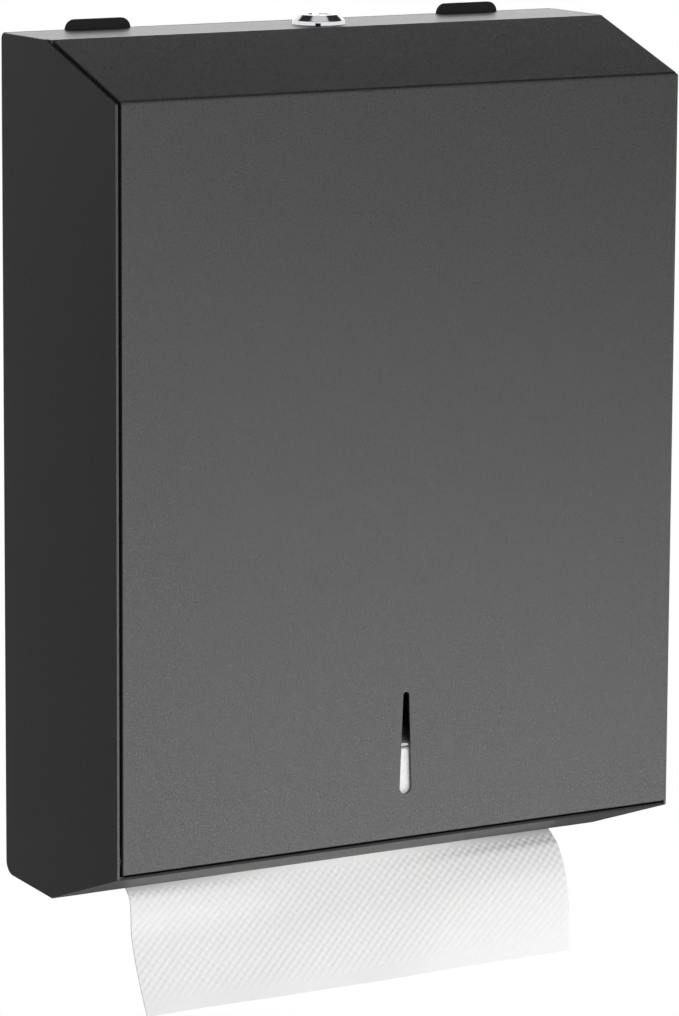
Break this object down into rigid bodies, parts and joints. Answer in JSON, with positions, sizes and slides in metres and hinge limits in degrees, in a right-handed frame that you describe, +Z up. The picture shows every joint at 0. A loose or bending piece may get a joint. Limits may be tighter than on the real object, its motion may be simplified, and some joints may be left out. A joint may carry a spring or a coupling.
{
  "type": "paper towel dispenser",
  "caption": "Wall-mounted folded paper towel dispenser: black powder-coated steel cabinet, drop-down locking door with a sight slot, chromed key lock and a towel hanging from the slot below.",
  "frame": {"origin": "middle of the four wall holes, on the back face that lies on the wall", "axes": "+X right as seen from the front, +Y back into the wall, +Z up"},
  "size_m": [0.275, 0.1, 0.419],
  "materials": {
    "powder_coat": "satin black powder coat with a fine grain",
    "zinc_plate": "zinc-plated steel",
    "lock_chrome": "bright chrome plate",
    "nylon": "black nylon",
    "paper": "white embossed towel paper"
  },
  "bodies": {
    "cabinet": {"back_panel": "powder_coat", "left_side_panel": "powder_coat", "right_side_panel": "powder_coat", "top_panel": "powder_coat", "towel_tray": "powder_coat", "left_hinge_stud": "zinc_plate", "right_hinge_stud": "zinc_plate", "left_hinge_clip": "zinc_plate", "right_hinge_clip": "zinc_plate", "lock_washer": "zinc_plate", "lock_nut": "zinc_plate", "lock_housing": "lock_chrome", "left_hinge_washer": "nylon", "right_hinge_washer": "nylon", "towel_stack": "paper"},
    "door": {"door_panel": "powder_coat", "door_catch": "zinc_plate", "catch_rivets": "zinc_plate"},
    "lock": {"lock_plug": "lock_chrome", "lock_cam": "zinc_plate", "cam_washer": "zinc_plate", "cam_screw": "zinc_plate"},
    "towel": {"hanging_towel": "paper"}
  },
  "joints": [
    {"name": "door_hinge", "type": "hinge", "parent": "cabinet", "child": "door", "pos_m": [0, -0.0954, -0.15338], "axis": [1, 0, 0], "range_deg": [0, 100]},
    {"name": "lock_turn", "type": "hinge", "parent": "cabinet", "child": "lock", "pos_m": [0.0031, -0.0228, 0.18], "axis": [0, 0, 1], "range_deg": [0, 90]},
    {"name": "towel_pull", "type": "slide", "parent": "cabinet", "child": "towel", "axis": [0, 0, -1], "range_m": [0, 0.04]}
  ]
}
